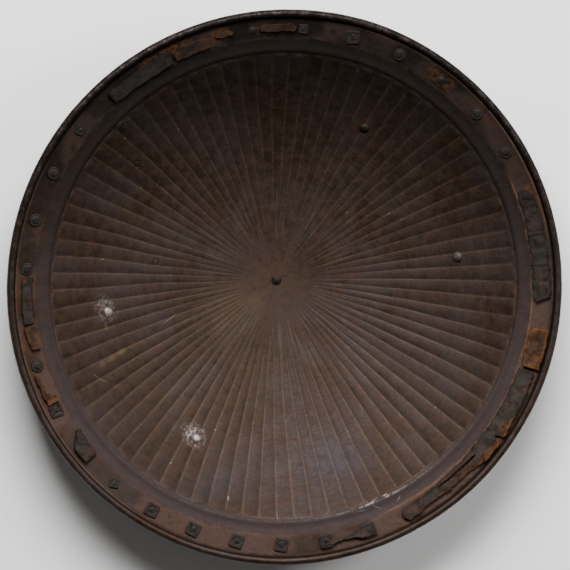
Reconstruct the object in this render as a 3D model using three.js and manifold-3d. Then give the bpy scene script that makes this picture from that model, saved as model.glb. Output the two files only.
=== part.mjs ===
// A round iron shield lying on its face: a dished plate fluted in rays, with a turned rim,
// strap rivets, a row of lining rivets and what is left of the leather lining.
// Millimetres, +Z up, origin at the middle of the flat spot underneath.
import * as THREE from 'three';
import * as BufferGeometryUtils from 'three/addons/utils/BufferGeometryUtils.js';
import Module from 'manifold-3d';

const wasm = await Module();
wasm.setup();

// The plate
const shieldDiameter = 560;
const shieldDepth = 88;          // floor to the top of the turned rim
const plateThickness = 1.6;
const flatSpotDiameter = 48;     // hammered flat at the centre
const borderWidth = 46;          // fluted field to the outside of the rim
const borderSlope = 8;           // degrees, rising outwards
const stepRise = 2.2;            // between the fluted field and the border
const stepRun = 2;
const rollDiameter = 8.4;        // the turned rim
const seamGap = 0.7;             // between the turned edge and the border

// The flutes
const fluteCount = 82;
const fluteRelief = 1.3;         // crown above crease, at the outer end
const fluteStartDiameter = 120;  // where they fade into the plain centre
const fluteTurn = 1.1;           // degrees, turns the whole pattern

// The rivets
const gap = 0.3;                 // between pieces that touch
const shankDiameter = 4.4;
const shankSides = 5;
const rimRivetCount = 34;
const rivetInset = 20;           // rivet row to the outside of the rim
const rowStart = 7.1;            // degrees clockwise from the right-hand side
const rowBunching = 3.7;         // degrees, how far the hand-set spacing drifts
const rowBunchingTurn = 123;     // degrees
const rimHeadDiameter = 11;
const rimHeadHeight = 3.4;
const strapSpanDiameter = 351;   // circle of the four strap rivets
const strapAngles = [-8.8, -62.2, 118.1, 170.6];    // degrees clockwise
const strapDrift = [4.5, 1.6, 0.9, -0.2];           // how far outside that circle each one was set
const strapEndDiameter = 9.6;
const strapEndHeight = 3;
const strapHeadDiameter = 12.5;
const strapHeadHeight = 3.6;
const centreEndDiameter = 9.6;
const centreEndHeight = 3.2;
const centreSinkDiameter = 9.4;  // flush countersunk head underneath

// The leather
const liningWidth = 20;          // what is left of it, across the rivet row
const leatherThickness = 2;
const hiddenEndHeight = 0.8;     // rivet ends pressed into the leather over them

const shieldRadius = shieldDiameter / 2;
const fieldRadius = shieldRadius - borderWidth;
const rivetRadius = shieldRadius - rivetInset;
const shankRadius = shankDiameter / 2;
const radians = THREE.MathUtils.degToRad;
const slope = radians(borderSlope);

const ironPlate = new THREE.MeshStandardMaterial({ color: 0x41352d, roughness: 0.6, metalness: 0.8 });
const ironRivet = new THREE.MeshStandardMaterial({ color: 0x4b4139, roughness: 0.55, metalness: 0.8 });
const leatherOld = new THREE.MeshStandardMaterial({ color: 0x4f3620, roughness: 0.85, metalness: 0 });

const shield = new THREE.Group();

// Mesh geometry to solid and back
function toSolid(geometry) {
  const bare = geometry.clone();
  bare.deleteAttribute('normal');
  bare.deleteAttribute('uv');
  const merged = BufferGeometryUtils.mergeVertices(bare, 1e-4);
  const vertProperties = new Float32Array(merged.attributes.position.array);
  const triVerts = new Uint32Array(merged.index.array);
  return new wasm.Manifold(new wasm.Mesh({ numProp: 3, vertProperties, triVerts }));
}

function toGeometry(solid) {
  const mesh = solid.getMesh();
  const geometry = new THREE.BufferGeometry();
  geometry.setAttribute('position', new THREE.BufferAttribute(mesh.vertProperties, 3));
  geometry.setIndex(new THREE.BufferAttribute(mesh.triVerts, 1));
  geometry.computeVertexNormals();
  return geometry;
}

// A straight or tapered peg along Z between two heights
function peg(lowRadius, highRadius, low, high, sides = 6) {
  const geometry = new THREE.CylinderGeometry(highRadius, lowRadius, high - low, sides);
  geometry.rotateX(Math.PI / 2);
  geometry.translate(0, 0, (low + high) / 2);
  return geometry;
}

// The plate's inner profile, from the flat spot out to where the roll starts
const rollRadius = rollDiameter / 2;
const rollHollow = rollRadius - plateThickness;
const rollCentre = new THREE.Vector2(shieldRadius - rollRadius, shieldDepth - rollRadius);

function borderHeight(radius) {
  return rollCentre.y - rollHollow / Math.cos(slope) - (rollCentre.x - radius) * Math.tan(slope);
}

const flatRadius = flatSpotDiameter / 2;
const fieldRise = borderHeight(fieldRadius + stepRun) - stepRise - plateThickness;
const domeHelp = ((fieldRadius ** 2 - flatRadius ** 2) / fieldRise + fieldRise) / 2;
const domeRadius = Math.hypot(domeHelp, flatRadius);

function domeHeight(radius) {
  return plateThickness + domeHelp - Math.sqrt(domeRadius ** 2 - radius ** 2);
}

const fluteStart = fluteStartDiameter / 2;
const domeSteps = 3;
const profile = [];
for (let i = 0; i <= domeSteps; i++) {
  const radius = flatRadius + (fieldRadius - flatRadius) * (i / domeSteps);
  profile.push(new THREE.Vector2(radius, domeHeight(radius)));
}
profile.push(new THREE.Vector2(fieldRadius + stepRun, borderHeight(fieldRadius + stepRun)));
profile.push(new THREE.Vector2(
  rollCentre.x + rollHollow * Math.sin(slope),
  rollCentre.y - rollHollow * Math.cos(slope),
));

// Each profile point's upward normal, mitred between its two neighbours
function mitre(index) {
  const before = index === 0
    ? new THREE.Vector2(1, 0)
    : profile[index].clone().sub(profile[index - 1]).normalize();
  const after = index === profile.length - 1
    ? new THREE.Vector2(Math.cos(slope), Math.sin(slope))
    : profile[index + 1].clone().sub(profile[index]).normalize();
  const along = before.clone().add(after).normalize();
  return new THREE.Vector2(-along.y, along.x).divideScalar(along.dot(before));
}

function fluteHeight(radius) {
  return fluteRelief * Math.max(0, (radius - fluteStart) / (fieldRadius - fluteStart));
}

// Rings of the closed plate, inside out to the rim, round the roll and back underneath
const rings = [];
const fluted = (index) => index >= 1 && index <= domeSteps;

function profileRing(index, side) {
  const normal = mitre(index);
  const point = profile[index].clone().addScaledVector(normal, side);
  const relief = fluted(index) ? fluteHeight(profile[index].x) : 0;
  rings.push({ point, normal, relief, count: fluted(index) ? 2 * fluteCount : fluteCount });
}

function rollRing(radius, turn) {
  const angle = slope - Math.PI / 2 + turn;
  const point = new THREE.Vector2(
    rollCentre.x + radius * Math.cos(angle),
    rollCentre.y + radius * Math.sin(angle),
  );
  rings.push({ point, normal: new THREE.Vector2(0, 1), relief: 0, count: fluteCount });
}

const rollTurn = 2 * Math.PI - Math.acos((rollHollow - seamGap) / rollRadius);
const rollInnerSteps = 3;
const rollOuterSteps = 6;
for (let i = 0; i < profile.length; i++) profileRing(i, 0);
for (let i = 1; i <= rollInnerSteps; i++) rollRing(rollHollow, rollTurn * i / rollInnerSteps);
for (let i = rollOuterSteps; i >= 0; i--) rollRing(rollRadius, rollTurn * i / rollOuterSteps);
for (let i = profile.length - 2; i >= 0; i--) profileRing(i, -plateThickness);

function plateGeometry() {
  const positions = [];
  const index = [];
  const starts = [];
  positions.push(0, 0, plateThickness);
  for (const ring of rings) {
    starts.push(positions.length / 3);
    for (let i = 0; i < ring.count; i++) {
      const angle = 2 * Math.PI * i / ring.count + radians(fluteTurn);
      const lift = ring.count > fluteCount && i % 2 === 1 ? ring.relief : 0;
      const radius = ring.point.x + lift * ring.normal.x;
      positions.push(radius * Math.cos(angle), radius * Math.sin(angle), ring.point.y + lift * ring.normal.y);
    }
  }
  const bottom = positions.length / 3;
  positions.push(0, 0, 0);
  const last = rings.length - 1;
  for (let i = 0; i < fluteCount; i++) {
    const next = (i + 1) % fluteCount;
    index.push(0, starts[0] + i, starts[0] + next);
    index.push(bottom, starts[last] + next, starts[last] + i);
  }
  for (let r = 0; r < last; r++) {
    const a = starts[r];
    const b = starts[r + 1];
    const countA = rings[r].count;
    const countB = rings[r + 1].count;
    const shared = Math.min(countA, countB);
    const stepA = countA / shared;
    const stepB = countB / shared;
    for (let i = 0; i < shared; i++) {
      const a0 = a + i * stepA;
      const a1 = a + (i + 1) * stepA % countA;
      const b0 = b + i * stepB;
      const b1 = b + (i + 1) * stepB % countB;
      if (stepB === 2) index.push(a0, b0, b0 + 1, a0, b0 + 1, a1, a1, b0 + 1, b1);
      else if (stepA === 2) index.push(a0, b0, a0 + 1, a0 + 1, b0, b1, a0 + 1, b1, a1);
      else index.push(a0, b0, b1, a0, b1, a1);
    }
  }
  const geometry = new THREE.BufferGeometry();
  geometry.setAttribute('position', new THREE.Float32BufferAttribute(positions, 3));
  geometry.setIndex(index);
  return geometry;
}

// A frame on the plate's inner surface: Z out of the plate, X outwards. Angles run clockwise.
function plateFrame(radius, height, tilt, clockwise) {
  return new THREE.Matrix4().makeRotationZ(-radians(clockwise))
    .multiply(new THREE.Matrix4().makeTranslation(radius, 0, height))
    .multiply(new THREE.Matrix4().makeRotationY(-tilt));
}

// The row of rim rivets: hand-set spacing, and a place between two rivets
function rivetAngle(number) {
  const even = 360 * number / rimRivetCount;
  return rowStart + even + rowBunching * Math.sin(radians(even + rowBunchingTurn));
}

function rimFrame(place, offset = 0) {
  const radius = rivetRadius + offset;
  return plateFrame(radius, borderHeight(radius), slope, rivetAngle(place));
}

// Height and slope of the plate's facets at a radius, at the bottom of the flutes
function facetAt(radius) {
  const next = profile.findIndex((point) => point.x > radius);
  const run = profile[next].clone().sub(profile[next - 1]);
  const slant = run.y / run.x;
  return { height: profile[next - 1].y + (radius - profile[next - 1].x) * slant, slant };
}

const strapRadii = strapDrift.map((drift) => strapSpanDiameter / 2 + drift);

function strapFrame(i) {
  const facet = facetAt(strapRadii[i]);
  return plateFrame(strapRadii[i], facet.height, Math.atan(facet.slant), strapAngles[i]);
}

// How far the plate rises above a level seat at a strap rivet, out to the end's edge
function strapRise(radius) {
  const reach = strapEndDiameter / 2;
  const facet = facetAt(radius);
  const rises = [-reach, reach].map((along) => {
    const level = facet.height + along * facet.slant;
    return (facetAt(radius + along).height - level) * Math.cos(Math.atan(facet.slant));
  });
  return Math.max(0, ...rises) + fluteHeight(radius + reach);
}

// How each rim rivet ends on the inside: its kind, and its turn in degrees
const rimEnds = [
  ['small', 23], ['bare', 0], ['small', -25], ['bare', 0], ['hidden', 0], ['bare', 0],
  ['square', 0], ['square', 2], ['square', -9], ['square', -9], ['square', -8], ['square', 3],
  ['small', 30], ['hidden', 0], ['square', -5], ['round', 0], ['small', 0], ['round', 0],
  ['round', 20], ['round', 0], ['small', 10], ['small', 45], ['bare', 0], ['bare', 0],
  ['bare', 0], ['small', 0], ['square', 15], ['round', 0], ['bare', 0], ['round', 0],
  ['round', 0], ['hidden', 0], ['hidden', 0], ['hidden', 0],
];
const endSizes = {
  square: { washer: 13.4, washerThickness: 1.8, endDiameter: 5.6, endHeight: 1 },
  small: { washer: 9.4, washerThickness: 1.6, endDiameter: 5.2, endHeight: 0.8 },
  round: { washer: 0, washerThickness: 0, endDiameter: 12.6, endHeight: 2.8 },
  bare: { washer: 0, washerThickness: 0, endDiameter: 8, endHeight: 1.8 },
  hidden: { washer: 0, washerThickness: 0, endDiameter: 8, endHeight: hiddenEndHeight },
};

// What is left of the leather: rows of place along the rivets, inner edge and outer edge in
// halves of the lining's width from the rivet row; the rivets it lies under, and those it hides
const scraps = [
  { name: 'leather_strip_right', under: [], hides: [31, 32, 33],
    rows: [[30.88, -0.6, 0.1], [31.02, -0.9, 0.6], [32.6, -1, 0.7], [33.2, -0.95, 0.9], [33.33, -0.7, -0.4]] },
  { name: 'leather_patch_tab', under: [0], hides: [],
    rows: [[-0.1, -0.6, 1], [0.12, -0.95, 1.02], [0.6, -0.9, 1.02], [0.78, -0.6, 0.95]] },
  { name: 'leather_strip_torn', under: [1, 2, 3, 5], hides: [4],
    rows: [[0.86, -0.95, 0.7], [2.95, -1, 1], [3.35, -0.9, 0.45], [4.7, -0.6, 0.45],
      [4.82, -0.6, 0.75], [5.1, -0.6, 0.75], [5.19, -0.15, 0.3]] },
  { name: 'leather_waist', under: [6, 7], hides: [],
    rows: [[5.88, -0.5, 0.5], [6.2, -0.35, 0.5], [6.5, 0.03, 0.22], [6.65, 0, 0.22], [6.85, -0.4, 0.4], [7.12, -0.5, 0.5]] },
  { name: 'leather_trapezoid', under: [], hides: [13],
    rows: [[12.74, -0.95, 0.55], [13.14, -1.05, 0.6], [13.41, -1.05, -0.7]] },
  { name: 'leather_scrap_1', under: [], hides: [],
    rows: [[14.15, -0.7, 0.5], [14.3, -0.7, 0.55], [14.4, 0.1, 0.55], [14.85, 0.2, 0.6]] },
  { name: 'leather_scrap_2', under: [], hides: [],
    rows: [[15.34, -0.8, 0], [15.5, -0.8, 0.3], [15.8, -0.8, 0.5], [15.84, -0.5, 0]] },
  { name: 'leather_scrap_3', under: [16], hides: [],
    rows: [[15.88, -0.5, 0.5], [16.3, -0.6, 0.5], [16.7, -0.6, 0.45], [16.85, -0.7, 0.3]] },
  { name: 'leather_scrap_4', under: [21, 22], hides: [],
    rows: [[20.88, -0.8, 0.4], [21.2, -0.95, 0.45], [22, -0.95, 0.55], [22.3, -0.8, 0.55]] },
  { name: 'leather_scrap_5', under: [23], hides: [],
    rows: [[22.37, -0.7, -0.2], [22.5, -0.8, 0.5], [22.9, -0.8, 0.5], [23.12, -0.7, 0.3]] },
  { name: 'leather_scrap_6', under: [], hides: [],
    rows: [[23.25, 0, 0.3], [23.38, -0.2, 0.5], [23.5, -0.1, 0.5], [23.6, 0, 0.3]] },
  { name: 'leather_scrap_7', under: [], hides: [],
    rows: [[24.13, -0.1, 0.4], [24.3, -0.3, 0.5], [24.8, -0.3, 0.5], [24.85, -0.1, 0.3]] },
];

// One rivet: inner end over its washer, shank through the plate, head outside
function rivetSolid(size, turn, seat, headTop, headDiameter, headHeight) {
  const washerTop = seat + size.washerThickness;
  const endTop = washerTop + size.endHeight;
  const shankTop = seat + (size.washerThickness || size.endHeight) / 2;
  const parts = [
    peg(shankRadius, shankRadius, headTop - headHeight / 2, shankTop, shankSides),
    peg(size.endDiameter / 2, size.endDiameter * 0.3, washerTop, endTop),
    peg(headDiameter * 0.28, headDiameter / 2, headTop - headHeight, headTop),
  ];
  if (size.washer > 0) {
    const washer = new THREE.BoxGeometry(size.washer, size.washer, size.washerThickness);
    washer.translate(0, 0, seat + size.washerThickness / 2);
    washer.rotateZ(radians(turn));
    parts.push(washer);
  }
  return parts.map(toSolid).reduce((sum, part) => sum.add(part));
}

function addPiece(name, solid, material, frame = new THREE.Matrix4()) {
  const mesh = new THREE.Mesh(toGeometry(solid), material);
  mesh.name = name;
  mesh.applyMatrix4(frame);
  shield.add(mesh);
}

function placedSolid(geometry, frame) {
  return toSolid(geometry.clone().applyMatrix4(frame));
}

const holeRadius = shankRadius + gap / Math.cos(Math.PI / shankSides);
const holeReach = plateThickness + fluteRelief + leatherThickness;
const holeTool = (frame) => placedSolid(peg(holeRadius, holeRadius, -holeReach, holeReach, shankSides), frame);

// The plate, with its rivet holes
const holes = [];
for (let i = 0; i < rimRivetCount; i++) holes.push(holeTool(rimFrame(i)));
for (let i = 0; i < strapAngles.length; i++) holes.push(holeTool(strapFrame(i)));
const sinkRadius = centreSinkDiameter / 2;
const sinkDepth = plateThickness * 0.7;
holes.push(holeTool(new THREE.Matrix4()));
holes.push(toSolid(peg(sinkRadius + gap * 1.5, shankRadius + gap, -0.01, sinkDepth + gap)));
addPiece('shield_plate', holes.reduce((plate, hole) => plate.subtract(hole), toSolid(plateGeometry())), ironPlate);

// The centre rivet, flush underneath
const centreBody = [
  peg(sinkRadius, shankRadius, 0, sinkDepth),
  peg(shankRadius, shankRadius, sinkDepth / 2, plateThickness + gap * 2, shankSides),
  peg(centreEndDiameter / 2, centreEndDiameter * 0.3, plateThickness + gap, plateThickness + gap + centreEndHeight),
];
addPiece('centre_rivet', centreBody.map(toSolid).reduce((sum, part) => sum.add(part)), ironRivet);

// The strap rivets, seated on the flutes' crowns inside and on their ridges outside
const strapSeat = Math.max(...strapRadii.map(strapRise)) + gap;
const strapSize = { washer: 0, washerThickness: 0, endDiameter: strapEndDiameter, endHeight: strapEndHeight };
strapRadii.forEach((radius, i) => {
  const solid = rivetSolid(strapSize, 0, strapSeat, -plateThickness - gap, strapHeadDiameter, strapHeadHeight);
  addPiece(`strap_rivet_${i + 1}`, solid, ironRivet, strapFrame(i));
});

// The rim rivets, higher where their washer lies on leather
const onLeather = new Set(scraps.flatMap((scrap) => scrap.under));
rimEnds.forEach(([kind, turn], i) => {
  const seat = onLeather.has(i) ? gap + leatherThickness + gap : gap;
  const solid = rivetSolid(endSizes[kind], turn, seat, -plateThickness - gap, rimHeadDiameter, rimHeadHeight);
  addPiece(`rim_rivet_${String(i + 1).padStart(2, '0')}`, solid, ironRivet, rimFrame(i));
});

// The leather, on the border, cut for the rivets that it lies round
const leatherStep = 1;           // in rivet spacings

function leatherBand(rows, low, high) {
  const places = [];
  for (let i = 0; i < rows.length - 1; i++) {
    const steps = Math.ceil((rows[i + 1][0] - rows[i][0]) / leatherStep);
    for (let s = 0; s < steps; s++) {
      places.push(rows[i].map((value, k) => THREE.MathUtils.lerp(value, rows[i + 1][k], s / steps)));
    }
  }
  places.push(rows[rows.length - 1]);
  const positions = [];
  for (const [place, inner, outer] of places) {
    for (const [edge, height] of [[inner, low], [outer, low], [outer, high], [inner, high]]) {
      const point = new THREE.Vector3(0, 0, height).applyMatrix4(rimFrame(place, edge * liningWidth / 2));
      positions.push(point.x, point.y, point.z);
    }
  }
  const index = [0, 2, 1, 0, 3, 2];
  for (let i = 0; i < places.length - 1; i++) {
    for (let k = 0; k < 4; k++) {
      const a = 4 * i + k;
      const b = 4 * i + (k + 1) % 4;
      index.push(a, b + 4, a + 4, a, b, b + 4);
    }
  }
  const end = 4 * (places.length - 1);
  index.push(end, end + 1, end + 2, end, end + 2, end + 3);
  const geometry = new THREE.BufferGeometry();
  geometry.setAttribute('position', new THREE.Float32BufferAttribute(positions, 3));
  geometry.setIndex(index);
  return toSolid(geometry);
}

const leatherTop = gap + leatherThickness;
const tornSlot = [[3.04, -0.35, -0.15], [3.5, -0.38, -0.16], [4.2, -0.5, -0.36]];
const tornNotch = [[2.38, 0.4, 1.2], [2.45, 0.25, 1.2], [2.52, 0.55, 1.2]];
for (const scrap of scraps) {
  let solid = leatherBand(scrap.rows, gap, leatherTop);
  for (const i of scrap.under) solid = solid.subtract(holeTool(rimFrame(i)));
  for (const i of scrap.hides) {
    const pocketRadius = endSizes.hidden.endDiameter / 2 + gap / Math.cos(Math.PI / 6);
    const pocket = peg(pocketRadius, pocketRadius, 0, gap + hiddenEndHeight + gap);
    solid = solid.subtract(placedSolid(pocket, rimFrame(i)));
  }
  if (scrap.name === 'leather_strip_torn') {
    for (const cut of [tornSlot, tornNotch]) solid = solid.subtract(leatherBand(cut, -gap, leatherTop + gap));
  }
  addPiece(scrap.name, solid, leatherOld);
}

export default shield;
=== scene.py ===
# A round fluted iron shield lying on its face, seen from above into its hollow back.
# All shapes below are worked out in millimetres and written to the meshes in metres.
import math
import bpy
import numpy as np
from mathutils import Matrix, Vector


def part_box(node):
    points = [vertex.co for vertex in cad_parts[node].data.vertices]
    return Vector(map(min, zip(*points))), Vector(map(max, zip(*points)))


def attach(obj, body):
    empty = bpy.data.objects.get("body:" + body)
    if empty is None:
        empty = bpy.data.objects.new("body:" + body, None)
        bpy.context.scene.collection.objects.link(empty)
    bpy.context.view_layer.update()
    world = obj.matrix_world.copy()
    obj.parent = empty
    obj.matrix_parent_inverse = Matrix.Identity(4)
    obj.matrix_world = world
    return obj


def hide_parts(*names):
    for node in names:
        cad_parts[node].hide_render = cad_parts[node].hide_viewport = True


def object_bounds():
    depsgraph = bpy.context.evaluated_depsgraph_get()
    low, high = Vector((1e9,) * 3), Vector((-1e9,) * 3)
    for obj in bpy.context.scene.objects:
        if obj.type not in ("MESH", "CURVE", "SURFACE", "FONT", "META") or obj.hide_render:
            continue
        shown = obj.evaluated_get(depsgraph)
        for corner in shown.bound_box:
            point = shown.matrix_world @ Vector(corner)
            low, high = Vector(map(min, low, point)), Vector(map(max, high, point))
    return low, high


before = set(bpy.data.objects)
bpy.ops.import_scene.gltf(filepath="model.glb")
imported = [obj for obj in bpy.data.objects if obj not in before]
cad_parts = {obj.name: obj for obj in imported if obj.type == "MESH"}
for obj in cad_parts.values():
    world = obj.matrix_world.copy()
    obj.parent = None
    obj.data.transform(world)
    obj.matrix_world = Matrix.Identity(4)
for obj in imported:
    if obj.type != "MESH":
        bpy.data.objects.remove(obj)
cadLow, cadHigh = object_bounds()
print("frame loaded,", len(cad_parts), "nodes")

millimetre = 0.001
fullTurn = 2 * math.pi

# Change these to reshape the plate; they repeat the solids' own sizes
plate = {
    "thickness": 1.6,
    "flatRadius": 24.0,
    "borderWidth": 46.0,
    "borderSlope": math.radians(8),
    "stepRise": 2.2,
    "stepRun": 2.0,
    "rollDiameter": 8.4,
    "fluteCount": 82,
    "fluteTurn": math.radians(1.1),
    "fluteRelief": 1.25,
    "fluteStart": 34.0,
    "fluteFullness": 2.2,        # 2 is round, more is flatter with a sharper crease
    "flutePlaces": (0, 0.045, 0.13, 0.3, 0.5, 0.7, 0.87, 0.955),
    "creaseWander": 0.07,        # of a flute's width
    "dentSmall": 0.12,
    "dentLarge": 0.45,
    "riserSpread": 2.0,          # how much softer the step is than its own run
    "residue": 0.35,             # thickness of what the lining left on the border
    "rimWaver": 0.8,
    "rivetInset": 20.0,
}

# Rust on the border: from and to in degrees clockwise, radius and reach in mm, strength
rustStretches = [
    (337, 344, 262, 8, 0.9), (9, 19, 262, 10, 0.5), (28, 41, 267, 4, 0.8), (41, 60, 257, 6, 0.6),
    (151, 160, 264, 3.5, 0.8), (165, 171.5, 262, 7, 0.8), (173, 182, 263, 6, 0.5), (236, 249, 264, 5, 0.7),
    (253, 257, 262, 6, 0.8), (262, 271, 260, 4, 0.8), (303, 310, 260, 6, 0.5), (316, 322, 263, 5, 0.3),
]

outerRadius = min(cadHigh.x, cadHigh.y, -cadLow.x, -cadLow.y) / millimetre
topHeight = cadHigh.z / millimetre
rollRadius = plate["rollDiameter"] / 2
rollHollow = rollRadius - plate["thickness"]
rollX = outerRadius - rollRadius
rollZ = topHeight - rollRadius
fieldRadius = outerRadius - plate["borderWidth"]
rivetRadius = outerRadius - plate["rivetInset"]
borderSlope = plate["borderSlope"]


def smooth(low, high, value):
    # 0 below low, 1 above high, 3t^2 - 2t^3 between
    t = np.clip((np.asarray(value, float) - low) / (high - low), 0, 1)
    return t * t * (3 - 2 * t)


def bump(value, centre, width):
    # exp(-(d / width)^2)
    return np.exp(-(((np.asarray(value, float) - centre) / width) ** 2))


def clockwise(angle):
    # degrees clockwise from the right-hand side, as a clock face is read
    return np.degrees(-np.asarray(angle, float)) % 360


def angleFrom(angle, centre):
    # signed difference of two angles in degrees, from -180 to 180
    return (np.asarray(angle, float) - centre + 180) % 360 - 180


def lumps(x, y, z, size, seed):
    # value noise from -1 to 1: random numbers on a lattice of that size, blended smoothly
    q = np.stack(np.broadcast_arrays(x, y, z), -1).astype(float) / size
    cell = np.floor(q)
    f = q - cell
    f = f * f * (3 - 2 * f)
    total = 0
    for corner in range(8):
        step = np.array([corner & 1, corner >> 1 & 1, corner >> 2 & 1], float)
        key = (cell + step) @ np.array([127.1, 311.7, 74.7]) + seed * 17.31
        value = np.sin(key) * 43758.5453
        weight = np.prod(np.where(step > 0, f, 1 - f), -1)
        total = total + (value - np.floor(value)) * weight
    return total * 2 - 1


def putMesh(name, points, quads, triangles=(), smoothShade=True):
    # points in mm, quads and triangles as index arrays, written with foreach_set
    quads = np.asarray(quads, np.int32).reshape(-1, 4)
    triangles = np.asarray(triangles, np.int32).reshape(-1, 3)
    mesh = bpy.data.meshes.new(name)
    mesh.vertices.add(len(points))
    mesh.vertices.foreach_set("co", (np.asarray(points, np.float32) * millimetre).ravel())
    corners = np.concatenate([quads.ravel(), triangles.ravel()])
    starts = np.concatenate([
        np.arange(len(quads)) * 4,
        len(quads) * 4 + np.arange(len(triangles)) * 3,
    ])
    mesh.loops.add(len(corners))
    mesh.loops.foreach_set("vertex_index", corners.astype(np.int32))
    mesh.polygons.add(len(starts))
    mesh.polygons.foreach_set("loop_start", starts.astype(np.int32))
    mesh.polygons.foreach_set("use_smooth", np.full(len(starts), smoothShade))
    mesh.update(calc_edges=True)
    mesh.validate()
    piece = bpy.data.objects.new(name, mesh)
    bpy.context.scene.collection.objects.link(piece)
    return piece


def roundQuads(rows, columns):
    # quads between rows of a grid whose columns close into rings
    r = np.arange(rows - 1)[:, None] * columns
    c = np.arange(columns)[None, :]
    n = (c + 1) % columns
    return np.stack([r + c, r + columns + c, r + columns + n, r + n], -1).reshape(-1, 4)


def roundBody(name, rings, firstPole, lastPole):
    # rings (rows, columns, 3) from one pole to the other, closed by a fan at each
    rows, columns = rings.shape[:2]
    points = np.concatenate([rings.reshape(-1, 3), [firstPole], [lastPole]])
    c = np.arange(columns)
    n = (c + 1) % columns
    first = np.stack([np.full(columns, rows * columns), c, n], -1)
    base = (rows - 1) * columns
    last = np.stack([np.full(columns, rows * columns + 1), base + n, base + c], -1)
    return putMesh(name, points, roundQuads(rows, columns), np.concatenate([first, last]))


def giveValues(piece, name, values):
    # one number per vertex, read by the materials as an attribute
    layer = piece.data.attributes.new(name, "FLOAT", "POINT")
    layer.data.foreach_set("value", np.asarray(values, np.float32).ravel())


def finishPiece(piece, material, slotName, *nodes):
    # its material, the body it belongs to and the solids that it stands for; slotName is not used
    piece.data.materials.append(material)
    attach(piece, "root")
    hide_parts(*nodes)
    return piece


# Heights of the plate's inner side
def borderHeight(radius):
    # a cone: rollZ - hollow / cos(slope) - (rollX - r) tan(slope)
    return rollZ - rollHollow / math.cos(borderSlope) - (rollX - radius) * math.tan(borderSlope)


def makeDome():
    # sphere through the flat spot's edge and the field's edge: z = t + u - sqrt(R^2 - r^2)
    rise = borderHeight(fieldRadius + plate["stepRun"]) - plate["stepRise"] - plate["thickness"]
    flat = plate["flatRadius"]
    u = ((fieldRadius ** 2 - flat ** 2) / rise + rise) / 2
    return u, math.hypot(u, flat)


domeHelp, domeRadius = makeDome()


def innerHeight(radius):
    # flat spot, dome, a smooth riser, then the border with its shallow channel
    radius = np.asarray(radius, float)
    inDome = np.clip(radius, plate["flatRadius"], fieldRadius)
    dome = plate["thickness"] + domeHelp - np.sqrt(domeRadius ** 2 - inDome ** 2)
    riser = smooth(fieldRadius - 0.5, fieldRadius + plate["stepRun"] * plate["riserSpread"], radius)
    channel = -0.6 * bump(radius, fieldRadius + 9, 6) * riser
    border = borderHeight(np.maximum(radius, fieldRadius))
    return dome * (1 - riser) + border * riser + channel


def fluteShape(radius, across):
    # relief(r) (1 - |x|^fullness), x from -1 to 1 across one flute
    grow = np.clip((radius - plate["fluteStart"]) / (fieldRadius - plate["fluteStart"]), 0, 1) ** 0.85
    reach = 1.6 * np.abs(across) ** 2
    end = 1 - smooth(fieldRadius - 2.6 - reach, fieldRadius + 0.8 - reach, radius)
    return plate["fluteRelief"] * grow * end * (1 - np.abs(across) ** plate["fluteFullness"])


# The columns crowd at the creases and wander with them, because the flutes were hammered by eye
placesInFlute = np.array(plate["flutePlaces"])
columns = plate["fluteCount"] * len(placesInFlute)
fluteIndex = np.arange(columns) // len(placesInFlute)
placeInFlute = np.tile(placesInFlute, plate["fluteCount"])
across = np.abs(2 * placeInFlute - 1)        # 1 on the crease, 0 on the crown
fluteAngle = fullTurn / plate["fluteCount"]


def columnAngles(radius):
    # even spacing plus a slow wander along each crease
    radius = np.asarray(radius, float)
    even = (fluteIndex + placeInFlute) * fluteAngle + plate["fluteTurn"]
    drift = lumps(np.cos(even) * 9, np.sin(even) * 9, radius / 60, 1.0, 3)
    fade = smooth(30, 90, radius) * (1 - smooth(fieldRadius - 2, fieldRadius + 4, radius))
    return even + plate["creaseWander"] * fluteAngle * drift * fade


def plateUnevenness(x, y, radius):
    # long waves and small hammer dents, none on the flat spot or near the rolled edge
    fade = smooth(26, 60, radius) * (1 - smooth(rollX - 8, rollX - 4, radius))
    long = lumps(x, y, 0, 74, 11) * plate["dentLarge"]
    small = lumps(x, y, 0, 11, 12) * plate["dentSmall"]
    return fade * (long * (1 - smooth(fieldRadius - 30, fieldRadius, radius)) + small)


def residueMask(x, y, radius):
    # what the lining left on the border: all along the rivets, with ragged edges
    ragged = 1.6 * lumps(x, y, 0, 6, 14) + 0.8 * lumps(x, y, 0, 2.5, 15)
    inner = smooth(fieldRadius + 16, fieldRadius + 17.5, radius + ragged)
    outer = 1 - smooth(rollX - 6.5, rollX - 5, radius + ragged)
    clock = clockwise(np.arctan2(y, x))
    present = smooth(-0.5, 0.3, lumps(x, y, 3, 26, 16)) * 0.85
    kept = np.abs(angleFrom(clock, 20)) < 43
    return inner * outer * np.where(kept, 1, present)


def liningEdge(x, y, radius):
    # the raised line where the lining ended, exp(-(d / 0.9)^2), clearest at the lower right
    ragged = 0.9 * lumps(x, y, 0, 9, 14)
    clock = clockwise(np.arctan2(y, x))
    kept = 0.12 + 0.88 * smooth(48, 42, np.abs(angleFrom(clock, 20)))
    return bump(radius + ragged, fieldRadius + 16.5, 0.9) * kept


def outerEdge(x, y, radius):
    # the pale line where the lining met the rolled edge, at the upper right and the left
    clock = clockwise(np.arctan2(y, x))
    upperRight = smooth(36, 28, np.abs(angleFrom(clock, 315)))
    left = smooth(50, 35, np.abs(angleFrom(clock, 165)))
    return bump(radius + 0.4 * lumps(x, y, 0, 7, 18), rollX - 5.6, 0.7) * (upperRight + 0.6 * left)


def stepGlint(x, y, radius):
    # scraped bright metal and a painted highlight along the top of the step at the lower right
    clock = clockwise(np.arctan2(y, x))
    return bump(radius, fieldRadius + 2.4, 0.5) * (0.6 * bump(clock, 65, 5) + 0.2 * bump(clock, 62, 16))


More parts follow.
